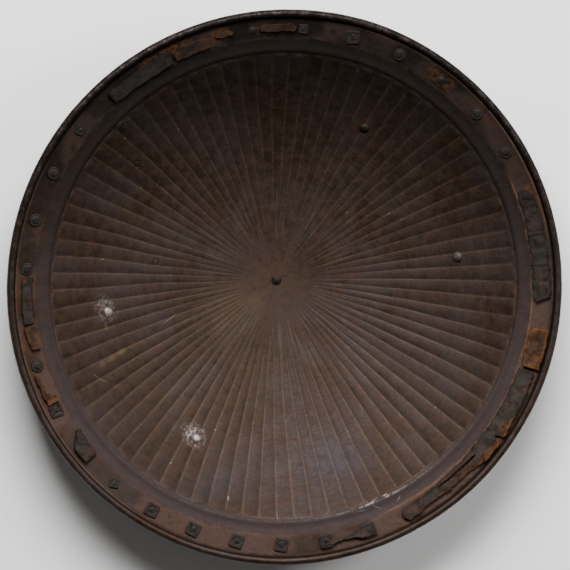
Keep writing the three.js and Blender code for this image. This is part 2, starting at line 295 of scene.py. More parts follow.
def rustMask(x, y):
    # strongest in the middle of each stretch, exp(-(d / reach)^4) across it
    radius = np.hypot(x, y)
    clock = clockwise(np.arctan2(y, x))
    total = np.zeros_like(radius)
    for begin, end, middle, reach, strength in rustStretches:
        half = (end - begin) / 2
        along = 1 - smooth(half - 0.7, half + 0.7, np.abs(angleFrom(clock, begin + half)))
        total = np.maximum(total, strength * along * np.exp(-((radius - middle) / reach) ** 4))
    return total


def domeRow(radius, below):
    # one ring of the plate at a radius, on its inner side or below it by the thickness
    angle = columnAngles(radius)
    x = radius * np.cos(angle)
    y = radius * np.sin(angle)
    relief = fluteShape(radius, across)
    flute = 0.85 + 0.3 * lumps(fluteIndex * 3.7, radius / 70, 0, 1.0, 21)
    height = innerHeight(radius) + relief * flute + plateUnevenness(x, y, radius)
    if not below and radius > fieldRadius:
        crust = residueMask(x, y, radius) * (0.7 + 0.5 * lumps(x, y, 0, 3.5, 17))
        height = height + (crust + liningEdge(x, y, radius)) * plate["residue"]
    if below:
        lean = radius / domeRadius if radius < fieldRadius else math.sin(borderSlope)
        height = height - plate["thickness"] / math.sqrt(1 - lean ** 2)
        height = np.where(radius <= plate["flatRadius"], 0.0, np.maximum(height, 0.0))
    return np.stack([x, y, height], -1)


# The turned rim: its seam gapes at the right and is nearly shut at the lower left
def rollRow(part, outer):
    # part from 0 to 1 round the roll; centre (rollX, rollZ), radius of the hollow or the outside
    angle = columnAngles(outerRadius)
    clock = clockwise(angle)
    gape = 0.55 * np.exp(-(angleFrom(clock, 15.5) / 5.5) ** 6)
    uneven = 0.05 * lumps(np.cos(angle) * 14, np.sin(angle) * 14, 0, 1, 31)
    turn = math.radians(297) - gape + 0.10 * bump(angleFrom(clock, 152), 0, 14) + uneven
    wide = 0.35 * np.cos(angle - math.pi)
    waver = plate["rimWaver"] * (0.5 + 0.5 * lumps(np.cos(angle) * 3.1, np.sin(angle) * 3.1, 0, 1, 32))
    lift = 0.5 * (lumps(np.cos(angle) * 4, np.sin(angle) * 4, 0, 1, 33) - 1)
    fineRim = 0.10 * lumps(np.cos(angle) * 45, np.sin(angle) * 45, part * 4, 1, 34)
    size = (rollRadius if outer else rollHollow) + fineRim - (0.12 if outer else 0)
    around = borderSlope - math.pi / 2 + turn * part
    tuck = smooth(0.35, 1.0, part) * wide
    along = smooth(0, 0.22, part)
    radius = rollX + size * np.cos(around) - waver * along - tuck
    height = rollZ + size * np.sin(around) + lift * along
    return np.stack([radius * np.cos(angle), radius * np.sin(angle), height], -1)


def platePiece():
    # rows from the middle of the inner side out, round the roll and back underneath
    inner = np.concatenate([
        np.linspace(5, 60, 10),
        np.linspace(64, fieldRadius - 4, 34),
        fieldRadius + np.array([-2.2, -1, 0, 0.7, 1.4, 2.1, 2.8, 4]),
        np.linspace(fieldRadius + 6, rollX - 0.8, 24),
    ])
    under = np.concatenate([
        np.linspace(rollX - 0.8, fieldRadius + 4, 9),
        fieldRadius + np.array([2.4, 1.6, 0.8, 0, -1.5]),
        np.linspace(fieldRadius - 6, 34, 16),
        [24, 12, 5],
    ])
    rows = [domeRow(radius, False) for radius in inner]
    rows += [rollRow(part, False) for part in np.linspace(0.03, 1, 8)]
    rows += [rollRow(part, True) for part in np.linspace(1, 0.02, 20)]
    rows += [domeRow(radius, True) for radius in under]
    rings = np.stack(rows)
    piece = roundBody("shieldPlate", rings, [0, 0, plate["thickness"]], [0, 0, 0])
    x, y = rings[..., 0], rings[..., 1]
    radius = np.hypot(x, y)
    inside = np.zeros(rings.shape[:2])
    inside[:len(inner)] = 1
    line = np.interp(1 - across, [0, 0.09, 0.26], [1, 0.45, 0])[None, :]
    crease = line * smooth(40, 120, radius) * (1 - smooth(fieldRadius - 2, fieldRadius, radius))
    layers = {
        "crease": crease,
        "inside": inside,
        "residue": residueMask(x, y, radius) * inside,
        "liningEdge": liningEdge(x, y, radius) * inside,
        "outerEdge": outerEdge(x, y, radius) * inside,
        "stepGlint": stepGlint(x, y, radius) * inside,
        "rust": rustMask(x, y) * inside,
    }
    for name, values in layers.items():
        giveValues(piece, name, np.append(values.ravel(), [0, 0]))
    return piece


# Materials
def colourOf(red, green, blue):
    # 0 to 255 as seen on a screen, to the renderer's own scale
    return tuple(((value / 255 + 0.055) / 1.055) ** 2.4 for value in (red, green, blue)) + (1.0,)


class MaterialTree:
    # short calls for building a material's node tree; sizes in millimetres
    def __init__(self, name):
        self.material = bpy.data.materials.new(name)
        self.material.use_nodes = True
        self.tree = self.material.node_tree
        self.tree.nodes.clear()
        output = self.tree.nodes.new("ShaderNodeOutputMaterial")
        self.shader = self.tree.nodes.new("ShaderNodeBsdfPrincipled")
        self.tree.links.new(self.shader.outputs[0], output.inputs[0])
        self.coords = self.tree.nodes.new("ShaderNodeTexCoord").outputs["Object"]

    def put(self, socket, value):
        if isinstance(value, bpy.types.NodeSocket):
            self.tree.links.new(value, socket)
        else:
            socket.default_value = value

    def noise(self, size, detail=4, rough=0.55):
        node = self.tree.nodes.new("ShaderNodeTexNoise")
        self.tree.links.new(self.coords, node.inputs["Vector"])
        node.inputs["Scale"].default_value = 1 / (size * millimetre)
        node.inputs["Detail"].default_value = detail
        node.inputs["Roughness"].default_value = rough
        return node.outputs["Fac"]

    def streaks(self, degrees, along, detail=3, rough=0.6):
        # noise drawn out along the rays or round the rings: its grain in degrees round the
        # axis and in millimetres outwards, from (cos a, sin a) / grain and r / along
        direction = self.tree.nodes.new("ShaderNodeVectorMath")
        direction.operation = "MULTIPLY"
        self.tree.links.new(self.coords, direction.inputs[0])
        direction.inputs[1].default_value = (1, 1, 0)
        unit = self.tree.nodes.new("ShaderNodeVectorMath")
        unit.operation = "NORMALIZE"
        self.tree.links.new(direction.outputs[0], unit.inputs[0])
        height = self.tree.nodes.new("ShaderNodeCombineXYZ")
        self.tree.links.new(self.times(self.radius(), 1 / along), height.inputs["Z"])
        place = self.tree.nodes.new("ShaderNodeVectorMath")
        place.operation = "MULTIPLY_ADD"
        self.tree.links.new(unit.outputs[0], place.inputs[0])
        place.inputs[1].default_value = (57.3 / degrees, 57.3 / degrees, 0)
        self.tree.links.new(height.outputs[0], place.inputs[2])
        node = self.tree.nodes.new("ShaderNodeTexNoise")
        self.tree.links.new(place.outputs[0], node.inputs["Vector"])
        node.inputs["Scale"].default_value = 1
        node.inputs["Detail"].default_value = detail
        node.inputs["Roughness"].default_value = rough
        return node.outputs["Fac"]

    def ramp(self, value, low, high, start=0.0, end=1.0):
        node = self.tree.nodes.new("ShaderNodeMapRange")
        node.interpolation_type = "SMOOTHSTEP"
        self.put(node.inputs["Value"], value)
        for key, number in zip(("From Min", "From Max", "To Min", "To Max"), (low, high, start, end)):
            node.inputs[key].default_value = number
        return node.outputs[0]

    def combine(self, kind, first, second):
        node = self.tree.nodes.new("ShaderNodeMath")
        node.operation = kind
        self.put(node.inputs[0], first)
        self.put(node.inputs[1], second)
        return node.outputs[0]

    def times(self, first, second):
        return self.combine("MULTIPLY", first, second)

    def mix(self, amount, below, above):
        node = self.tree.nodes.new("ShaderNodeMix")
        node.data_type = "RGBA"
        self.put(node.inputs["Factor"], amount)
        self.put(node.inputs[6], below)
        self.put(node.inputs[7], above)
        return node.outputs[2]

    def attribute(self, name):
        node = self.tree.nodes.new("ShaderNodeAttribute")
        node.attribute_name = name
        return node.outputs["Fac"]

    def radius(self):
        # distance from the shield's axis
        return self.spot(0, 0, 1, raw=True)

    def spot(self, x, y, reach, wide=None, turn=0, raw=False):
        # 1 at a point seen from above, 0 at that reach; an ellipse where wide is given, turned
        # in degrees; raw gives the distance itself
        mapping = self.tree.nodes.new("ShaderNodeMapping")
        mapping.vector_type = "TEXTURE"
        mapping.inputs["Location"].default_value = (x * millimetre, y * millimetre, 0)
        mapping.inputs["Rotation"].default_value = (0, 0, math.radians(turn))
        mapping.inputs["Scale"].default_value = (reach * millimetre, (wide or reach) * millimetre, 1000)
        self.tree.links.new(self.coords, mapping.inputs[0])
        length = self.tree.nodes.new("ShaderNodeVectorMath")
        length.operation = "LENGTH"
        self.tree.links.new(mapping.outputs[0], length.inputs[0])
        return length.outputs["Value"] if raw else self.ramp(length.outputs["Value"], 0, 1, 1, 0)

    def bumps(self, *layers):
        # each layer is a height from 0 to 1 and its depth
        normal = None
        for height, depth in layers:
            node = self.tree.nodes.new("ShaderNodeBump")
            node.inputs["Distance"].default_value = depth * millimetre
            self.put(node.inputs["Height"], height)
            if normal:
                self.tree.links.new(normal, node.inputs["Normal"])
            normal = node.outputs[0]
        self.tree.links.new(normal, self.shader.inputs["Normal"])


# Colours of the iron, as seen on a screen
ironColours = {
    "dark": (42, 32, 25),
    "brown": (57, 43, 34),
    "grey": (58, 50, 50),
    # the bluish tone is a painted sheen
    "bluishSheen": (55, 54, 62),
    "reddish": (62, 40, 33),
    "greenish": (50, 48, 40),
    "tan": (76, 56, 43),
    "crease": (86, 72, 58),
    "glint": (170, 158, 142),
    "pit": (15, 10, 8),
    "residue": (83, 65, 57),
    "lining": (98, 74, 60),
    "rust": (76, 46, 22),
    "ochre": (88, 71, 50),
    "polished": (176, 168, 162),
}

# Marks on the field: place, reach, width in mm, turn in degrees, colour and strength
plateMarks = [
    (-160, -69, 9, 4, 27, "ochre", 0.7),
    (-170, -75, 9, 4.5, 27, "ochre", 0.6),
    (-180, -80, 8, 4, 27, "ochre", 0.45),
    (-38, -26, 62, 44, 20, "crease", 0.30),
    (0, 0, 66, 60, 0, "tan", 0.3),
    (14, 6, 26, 18, 60, "greenish", 0.3),
    (-22, -20, 22, 12, 30, "lining", 0.12),
    (-16, 30, 24, 18, 0, "grey", 0.4),
    (-175.5, -43, 3, 6, 10, "ochre", 0.9),
    # bright scratches, painted partly as highlights
    (-106, -36, 7, 0.5, 40, "glint", 0.3),
    (-112, -40, 6, 0.5, 35, "glint", 0.3),
    (-186, -92, 7, 0.5, -35, "glint", 0.3),
    (-180, -96, 7, 0.5, -20, "glint", 0.25),
    (-53, -214, 0.8, 3.5, 0, "glint", 0.7),
    (-4, -232, 0.4, 6, 3, "glint", 0.25),
    (91, -217, 9, 0.5, 38, "glint", 0.6),
    (104, -210, 4, 0.8, 30, "glint", 0.7),
    (96, -222, 7, 0.4, -20, "glint", 0.5),
    (80, -226, 10, 0.4, 12, "glint", 0.4),
    (118, -213, 5, 0.5, 60, "glint", 0.5),
    # painted sheen: two bluish-grey patches at the bottom
    (60, -180, 55, 38, 10, "bluishSheen", 0.45),
    (-60, -200, 90, 30, 18, "bluishSheen", 0.3),
    (81, 158, 14, 12, 0, "rust", 0.35),
]
pluggedHoles = [(-124, 20), (-146, 121)]
ironGloss = {"specular": 0.22, "metallic": 0.7, "roughness": 0.66, "rim": 0.15}
# Painted shade: share of its brightness that the border keeps, and that the field loses at its top
paintedShadeShares = {"side": 1.0, "step": 0.72, "top": 0.35, "field": 0.54}


def fieldTone(iron, colour):
    # bare iron: fine mottling over slow changes of tone, with pits
    middle = iron.noise(9, 5, 0.62)
    fine = iron.noise(2.4, 5, 0.68)
    base = iron.mix(iron.ramp(middle, 0.34, 0.66), colour["dark"], colour["brown"])
    base = iron.mix(iron.ramp(iron.noise(60, 4, 0.6), 0.40, 0.66, 0.0, 0.55), base, colour["grey"])
    base = iron.mix(iron.ramp(fine, 0.42, 0.30, 0, 0.5), base, colour["pit"])
    base = iron.mix(iron.ramp(fine, 0.60, 0.72, 0, 0.35), base, colour["crease"])
    # rubbed streaks along the rays near the middle, and fine scratches round it
    rays = iron.times(iron.ramp(iron.radius(), 130, 50, 0, 0.40), iron.ramp(iron.radius(), 24, 52))
    rays = iron.times(rays, iron.ramp(iron.streaks(1.6, 45), 0.50, 0.66))
    base = iron.mix(rays, base, colour["crease"])
    base = iron.mix(iron.ramp(iron.streaks(6, 2.2, 5), 0.52, 0.38, 0, 0.16), base, colour["pit"])
    base = iron.mix(iron.ramp(iron.noise(7, 5, 0.65), 0.52, 0.64, 0, 0.5), base, colour["reddish"])
    base = iron.mix(iron.ramp(iron.noise(12, 5, 0.65), 0.56, 0.68, 0, 0.4), base, colour["greenish"])
    return base, middle, fine


def ironPlateMaterial():
    # dark patina, then wear, painted shade, residue, rust, painted highlights and sheen, and polish laid
    # over it in turn
    iron = MaterialTree("patinatedIron")
    colour = {key: colourOf(*value) for key, value in ironColours.items()}
    base, middle, fine = fieldTone(iron, colour)
    radius = iron.radius()
    edge = iron.noise(20, 3, 0.6)
    # worn crease lines, and the thin worn line where the field ends
    crease = iron.times(iron.attribute("crease"), iron.ramp(edge, 0.30, 0.62, 0.35, 1))
    fieldEnd = iron.times(
        iron.ramp(radius, fieldRadius - 1.6, fieldRadius),
        iron.ramp(radius, fieldRadius + 1.4, fieldRadius),
    )
    line = iron.combine("MAXIMUM", crease, iron.times(fieldEnd, iron.ramp(edge, 0.42, 0.62, 0, 0.7)))
    line = iron.times(line, iron.attribute("inside"))
    base = iron.mix(iron.times(line, 0.5), base, colour["crease"])
    # painted glints: bright specks along the worn lines
    glint = iron.times(line, iron.ramp(iron.noise(3.4, 2, 0.5), 0.70, 0.78, 0, 0.8))
    base = iron.mix(glint, base, colour["glint"])
    # painted shade: the border is darker, most of all beside the step and at its top, and the field is
    # darker towards its top
    fromBottom = iron.spot(0, -300, 1, raw=True)
    kept = iron.ramp(fromBottom, 280, 540, paintedShadeShares["side"], paintedShadeShares["top"])
    kept = iron.times(kept, iron.ramp(radius, fieldRadius + 4, fieldRadius + 14, paintedShadeShares["step"], 1))
    border = iron.ramp(radius, fieldRadius - 1, fieldRadius + 3)
    base = iron.mix(iron.times(border, iron.combine("SUBTRACT", 1.0, kept)), base, (0, 0, 0, 1))
    base = iron.mix(iron.ramp(fromBottom, 380, 540, 0, paintedShadeShares["field"]), base, (0, 0, 0, 1))
    # grey beside the step, stronger towards the bottom as a painted sheen
    channel = iron.times(border, iron.ramp(radius, fieldRadius + 18, fieldRadius + 12))
    channel = iron.times(channel, iron.ramp(fromBottom, 480, 300, 0.1, 0.6))
    base = iron.mix(channel, base, colour["grey"])
    # what the lining left, and rust
    residue = iron.times(iron.attribute("residue"), iron.ramp(middle, 0.3, 0.5, 0.4, 1))
    # the residue fades towards the top as painted shade
    residueShade = iron.ramp(fromBottom, 280, 520, 0.9, 0.22)
    base = iron.mix(iron.times(residue, residueShade), base, colour["residue"])
    liningEdge = iron.times(iron.attribute("liningEdge"), iron.ramp(middle, 0.3, 0.55, 0.3, 0.9))
    base = iron.mix(liningEdge, base, colour["lining"])
    outerEdge = iron.times(iron.attribute("outerEdge"), iron.ramp(middle, 0.3, 0.5, 0.4, 0.9))
    base = iron.mix(outerEdge, base, colour["lining"])
    # scraped metal and a painted highlight along the step
    scrapedAndGlint = iron.times(iron.attribute("stepGlint"), iron.ramp(iron.noise(7, 5, 0.7), 0.40, 0.62))
    base = iron.mix(scrapedAndGlint, base, colour["polished"])
    rust = iron.times(iron.attribute("rust"), iron.ramp(iron.noise(5, 6, 0.7), 0.40, 0.58))
    base = iron.mix(rust, base, colour["rust"])
    # painted shade in the seam of the rolled edge, and its rubbed crest
    seam = iron.ramp(radius, rollX - 5.2, rollX - 4.2)
    seam = iron.times(seam, iron.ramp(radius, rollX - 2.6, rollX - 3.4))
    base = iron.mix(iron.times(seam, 0.7), base, colour["pit"])
    rim = iron.ramp(radius, rollX - 3, rollX - 1)
    rubbed = iron.times(rim, iron.ramp(iron.noise(6, 5, 0.7), 0.44, 0.66, 0, 0.6))
    base = iron.mix(rubbed, base, colour["grey"])
    for x, y, reach, wide, turn, name, strength in plateMarks:
        mark = iron.times(iron.spot(x, y, reach, wide, turn), iron.ramp(fine, 0.30, 0.55, 0.4, 1))
        base = iron.mix(iron.times(mark, strength), base, colour[name])
    holes = 0.0
    for x, y in pluggedHoles:
        away = iron.spot(x, y, 1, raw=True)
        ring = iron.times(iron.ramp(away, 2.2, 3.2), iron.ramp(away, 4.2, 3.2))
        holes = iron.combine("MAXIMUM", holes, ring)
    base = iron.mix(iron.times(holes, 0.5), base, colour["pit"])
    # the field rubbed bright round two strap rivets
    scuff = iron.ramp(iron.noise(3.2, 6, 0.75), 0.38, 0.62)
    polish = 0.0
    for x, y in polishedSpots:
        away = iron.times(iron.spot(x, y, 1, raw=True), 1.1)
        phase = iron.combine("ADD", away, iron.times(iron.noise(9, 4, 0.7), 22.0))
        rings = iron.combine("SINE", phase, 0.0)
        halo = iron.times(iron.spot(x - 3, y + 4, 20, 15, 130), iron.ramp(rings, -0.6, 0.9, 0.16, 0.5))
        core = iron.times(iron.spot(x, y, 8), 0.4)
        polish = iron.combine("MAXIMUM", polish, iron.combine("MAXIMUM", halo, core))
    polish = iron.times(polish, scuff)
    base = iron.mix(polish, base, colour["polished"])
    iron.put(iron.shader.inputs["Base Color"], base)
    iron.shader.inputs["Specular IOR Level"].default_value = ironGloss["specular"]
    metal = iron.combine("ADD", ironGloss["metallic"], iron.times(polish, 0.3))
    iron.put(iron.shader.inputs["Metallic"], metal)
    rough = ironGloss["roughness"]
    gloss = iron.ramp(middle, 0.35, 0.7, rough - 0.05, rough + 0.05)
    gloss = iron.combine("ADD", gloss, iron.ramp(fine, 0.4, 0.7, -0.04, 0.06))
    gloss = iron.combine("ADD", gloss, iron.times(iron.combine("MAXIMUM", residue, rust), 0.2))
    gloss = iron.combine("SUBTRACT", gloss, iron.times(rim, ironGloss["rim"]))
    iron.put(iron.shader.inputs["Roughness"], iron.combine("SUBTRACT", gloss, iron.times(polish, 0.15)))
    grain = iron.noise(1.0, 3, 0.7)
    iron.bumps((middle, 0.30), (fine, 0.20), (grain, 0.06), (residue, 0.15), (holes, -0.4))
    return iron.material


def ironRivetMaterial():
    # darker than the plate, worn pale at the edges, bright where it was rubbed and, on the first strap
    # rivet, partly as a painted highlight, with painted shade towards the top
    iron = MaterialTree("forgedIron")
    coarse = iron.noise(5, 5, 0.65)
    fine = iron.noise(1.5, 5, 0.7)
    base = iron.mix(iron.ramp(coarse, 0.36, 0.64), colourOf(19, 15, 13), colourOf(35, 28, 23))
    base = iron.mix(iron.ramp(iron.noise(3.4, 5, 0.7), 0.60, 0.70, 0, 0.6), base, colourOf(62, 38, 22))
    edge = iron.times(iron.attribute("edge"), iron.ramp(fine, 0.35, 0.6, 0.1, 0.6))
    base = iron.mix(edge, base, colourOf(62, 53, 46))
    # painted shade: darker towards the top
    base = iron.mix(iron.ramp(iron.spot(0, -300, 1, raw=True), 300, 520, 0, 0.5), base, (0, 0, 0, 1))
    bright = iron.times(iron.attribute("bright"), iron.ramp(coarse, 0.3, 0.5, 0.3, 1))
    base = iron.mix(bright, base, colourOf(160, 146, 140))
    iron.put(iron.shader.inputs["Base Color"], base)
    iron.shader.inputs["Specular IOR Level"].default_value = ironGloss["specular"]
    iron.put(iron.shader.inputs["Metallic"], iron.combine("ADD", 0.35, iron.times(bright, 0.45)))
    gloss = iron.ramp(coarse, 0.3, 0.7, 0.56, 0.70)
    iron.put(iron.shader.inputs["Roughness"], iron.combine("SUBTRACT", gloss, iron.times(bright, 0.2)))
    iron.bumps((coarse, 0.35), (fine, 0.18))
    return iron.material


def leatherMaterial():
    # grey-brown hide, warmer where "tan" is high, amber along the warm edges and painted shade along the
    # others, with painted shade towards the top
    hide = MaterialTree("oldLeather")
    coarse = hide.noise(7, 6, 0.65)
    fine = hide.noise(1.3, 5, 0.7)
    grain = hide.streaks(5, 1.1)
    dark = hide.mix(hide.ramp(coarse, 0.36, 0.62), colourOf(24, 19, 16), colourOf(48, 40, 34))
    dark = hide.mix(hide.ramp(hide.noise(13, 3), 0.50, 0.62, 0, 0.7), dark, colourOf(60, 43, 35))
    dark = hide.mix(hide.ramp(hide.noise(10, 4), 0.50, 0.64, 0, 0.5), dark, colourOf(46, 47, 48))
    warm = hide.mix(hide.ramp(hide.noise(9, 4), 0.40, 0.62), colourOf(32, 20, 14), colourOf(60, 41, 30))
    edge = hide.attribute("edge")
    tan = hide.attribute("tan")
    amber = hide.combine("MAXIMUM", edge, hide.ramp(hide.noise(8, 5, 0.65), 0.54, 0.66, 0, 0.7))
    amber = hide.times(amber, hide.ramp(hide.noise(5, 4, 0.65), 0.36, 0.56, 0.1, 0.8))
    amber = hide.times(amber, hide.ramp(tan, 0.75, 1.0, 0.45, 1))
    warm = hide.mix(amber, warm, colourOf(96, 58, 20))
    patchy = hide.times(hide.combine("SUBTRACT", hide.noise(12, 3), 0.5), 2.0)
    patchy = hide.times(patchy, hide.ramp(tan, 0, 0.4, 0.4, 1))
    spread = hide.ramp(hide.combine("ADD", tan, patchy), 0.35, 0.70)
    base = hide.mix(spread, dark, warm)
    base = hide.mix(hide.ramp(grain, 0.56, 0.70, 0, 0.3), base, colourOf(66, 52, 42))
    base = hide.mix(hide.ramp(fine, 0.58, 0.72, 0, 0.3), base, colourOf(12, 8, 6))
    # painted shade along the edges that are not warm
    edgeShade = hide.times(hide.times(edge, 0.6), hide.combine("SUBTRACT", 1.0, spread))
    base = hide.mix(edgeShade, base, colourOf(12, 8, 6))
    # painted shade: darker towards the top
    base = hide.mix(hide.ramp(hide.spot(0, -300, 1, raw=True), 300, 520, 0, 0.7), base, (0, 0, 0, 1))
    hide.put(hide.shader.inputs["Base Color"], base)
    hide.shader.inputs["Specular IOR Level"].default_value = 0.12
    hide.put(hide.shader.inputs["Roughness"], hide.ramp(coarse, 0.3, 0.7, 0.6, 0.85))
    hide.bumps((coarse, 0.8), (fine, 0.35), (grain, 0.4))
    return hide.material


# Where the rivets stand, from the solids
def nodeCentre(node):
    # middle of the node's box seen from above, in mm
    low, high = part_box(node)
    return (low.x + high.x) / 2 / millimetre, (low.y + high.y) / 2 / millimetre


rimNames = [f"rim_rivet_{i:02d}" for i in range(1, 35)]
strapNames = [f"strap_rivet_{i}" for i in range(1, 5)]
rimAngles = np.unwrap([math.atan2(*reversed(nodeCentre(name))) for name in rimNames])
polishedSpots = [nodeCentre(strapNames[3]), nodeCentre(strapNames[2])]


def plateFrame(radius, height, tilt, angle):
    # origin, outward, sideways (turning left) and up of a seat on the plate's inner side
    c, s = math.cos(angle), math.sin(angle)
    origin = np.array([radius * c, radius * s, height])
    outward = np.array([math.cos(tilt) * c, math.cos(tilt) * s, math.sin(tilt)])
    sideways = np.array([-s, c, 0])
    up = np.array([-math.sin(tilt) * c, -math.sin(tilt) * s, math.cos(tilt)])
    return origin, outward, sideways, up


# Each kind of inner end: washer or head width, its thickness, the peened end's width and height
rivetKinds = {
    "square": {"washer": 13.4, "plateau": 1.8, "end": 5.6, "height": 0.6, "square": 1.0},
    "small": {"washer": 9.4, "plateau": 1.5, "end": 5.0, "height": 0.5, "square": 1.0},
    "round": {"washer": 12.6, "plateau": 1.5, "end": 8.0, "height": 0.8, "square": 0.0},
    "bare": {"washer": 8.4, "plateau": 0.8, "end": 6.0, "height": 0.9, "square": 0.0},
    "hidden": {"washer": 8.0, "plateau": 0.4, "end": 6.0, "height": 0.3, "square": 0.0},
    "strap": {"washer": 9.6, "plateau": 1.2, "end": 8.0, "height": 1.7, "square": 0.0},
}
rivetColumns = 40


def headRows(headRadius, headHeight, base):
    # the low dome outside: height 1 - c^2.2 from its edge to its middle
    rows = [(headRadius - 0.2, base, 0.0), (headRadius, base - 0.35, 0.0)]
    dome = headHeight - 0.35
    for c in (0.96, 0.86, 0.7, 0.48, 0.24):
        rows.append((headRadius * c, base - 0.35 - dome * math.sqrt(1 - c ** 2.2), 0.0))
    return rows


def rivetPiece(
    name, kind, seatFrame, turn=0, seat=0.3, head=(11.0, 3.4), ribs=0, seed=0, flush=False, bright=0
):
    # rings down the rivet's own axis: radius x squareness round it, over the inner end,
    # the washer, the shank and the outer head
    sizes = rivetKinds[kind]
    angle = np.arange(rivetColumns) * fullTurn / rivetColumns
    half = sizes["washer"] / 2
    end = sizes["end"] / 2
    top = seat + sizes["plateau"]
    thick = plate["thickness"]
    square = sizes["square"]
    rows = []
    for c in (0.3, 0.6, 0.82, 0.95):
        rows.append((end * c, top + sizes["height"] * math.sqrt(1 - c ** 2.4), 0.0))
    rows += [(end * 1.04, top + 0.1, 0.0), (end * 1.1, top - 0.12, 0.0), (end * 1.2, top, 0.0)]
    rows += [(half - 0.7, top, square), (half - 0.25, top - 0.03, square)]
    rows += [(half - 0.04, top - 0.22, square), (half, top - 0.6 * sizes["plateau"], square)]
    rows += [(half - 0.1, seat - 0.2, square)]
    rows += [(2.4, seat - 0.25, 0.0), (2.3, -thick + 0.2, 0.0)]
    if flush:
        rows += [(3.4, -thick + 0.9, 0.0), (4.4, -thick + 0.15, 0.0)]
        rows += [(4.0, -thick, 0.0), (1.6, -thick, 0.0)]
        bottom = -thick
    else:
        rows += headRows(head[0] / 2, head[1], -thick - 0.1)
        bottom = -thick - 0.1 - head[1]
    ringRadius, ringHeight, squareness = (np.array(column)[:, None] for column in zip(*rows))
    corner = (np.abs(np.cos(angle)) ** 12 + np.abs(np.sin(angle)) ** 12) ** (-1 / 12)
    reach = ringRadius * (1 + squareness * (corner - 1))
    turned = angle + math.radians(turn)
    x = reach * np.cos(turned)
    y = reach * np.sin(turned)
    z = ringHeight + 0 * x
    # hammered: uneven edge, leaning top, ribs where the washer shows them
    wobble = (0.0 if flush else 0.32) * (ringRadius > 2.5)
    inner = ringHeight > seat
    shiftX = wobble * lumps(x, y, z, 3.4, seed + 1)
    shiftY = wobble * lumps(x, y, z, 3.4, seed + 2)
    lean = 0.03 * (x * math.cos(seed * 2.1) + y * math.sin(seed * 2.1))
    z = z + np.where(inner, lean + 0.16 * lumps(x, y, 0, 2.6, seed + 3), 0)
    if ribs:
        sideways = -x * math.sin(math.radians(turn)) + y * math.cos(math.radians(turn))
        z = z + np.where(ringHeight >= top - 0.1, 0.22 * np.sin(sideways * fullTurn / ribs), 0)
    origin, outward, sideways, up = seatFrame
    level = (x + shiftX)[..., None] * outward + (y + shiftY)[..., None] * sideways
    points = origin + level + z[..., None] * up
    piece = roundBody(name, points, origin + up * (top + sizes["height"]), origin + up * bottom)
    edge = np.exp(-((ringRadius - half) / 0.6) ** 2) + 0.8 * np.exp(-((ringRadius - end) / 0.4) ** 2)
    edge = edge * inner + 0 * x
    giveValues(piece, "edge", np.append(edge.ravel(), [0.3, 0]))
    giveValues(piece, "bright", np.append((bright * inner + 0 * x).ravel(), [bright, 0]))
    return piece


# Which rim rivets lie on leather, and each one's kind and turn in degrees
leatherUnder = {0, 1, 2, 3, 5, 6, 7, 16, 21, 22, 23}
rimSchedule = [
    ("small", 23), ("bare", 0), ("small", -25), ("bare", 0), ("hidden", 0), ("bare", 0),
    ("square", 0), ("square", 2), ("square", -9), ("square", -9), ("square", -8), ("square", 3),
    ("small", 30), ("hidden", 0), ("square", -5), ("round", 0), ("small", 0), ("round", 0),
    ("round", 20), ("round", 0), ("small", 10), ("small", 45), ("bare", 0), ("bare", 0),
    ("bare", 0), ("small", 0), ("square", 15), ("round", 0), ("bare", 0), ("round", 0),
    ("round", 0), ("hidden", 0), ("hidden", 0), ("hidden", 0),
]
ribbedRivets = {10: 3.4, 14: 2.8}    # washers with ribs, and the ribs' spacing in mm
# how bright each strap rivet's inner end is: the third and fourth rubbed bright, the first lightened partly
# as a painted highlight
strapPolishAndHighlight = (0.12, 0.0, 0.75, 0.75)
leather = {"thickness": 2.0, "gap": 0.3, "cell": 1.1, "fray": 0.8}


def makeRivets(material):
    # each one at its solid's place, square to the plate's inner side
    for i, (kind, turn) in enumerate(rimSchedule):
        seat = leather["gap"] + (leather["thickness"] if i in leatherUnder else 0) + 0.1
        seatFrame = plateFrame(rivetRadius, borderHeight(rivetRadius), borderSlope, rimAngles[i])
        ribs = ribbedRivets.get(i, 0)
        piece = rivetPiece(f"rimRivet_{i + 1:02d}", kind, seatFrame, turn, seat, ribs=ribs, seed=i)
        finishPiece(piece, material, "iron_rivets", rimNames[i])
    for i, node in enumerate(strapNames):
        x, y = nodeCentre(node)
        radius = math.hypot(x, y)
        tilt = math.asin(radius / domeRadius)
        seatFrame = plateFrame(radius, float(innerHeight(radius)), tilt, math.atan2(y, x))
        bright = strapPolishAndHighlight[i]
        name = f"strapRivet_{i + 1}"
        piece = rivetPiece(name, "strap", seatFrame, 0, 0.9, (12.5, 3.6), seed=50 + i, bright=bright)
        finishPiece(piece, material, "iron_rivets", node)
    seatFrame = plateFrame(0, plate["thickness"], 0, 0)
    piece = rivetPiece("centreRivet", "strap", seatFrame, 0, 0.3, seed=60, flush=True)
    finishPiece(piece, material, "iron_rivets", "centre_rivet")


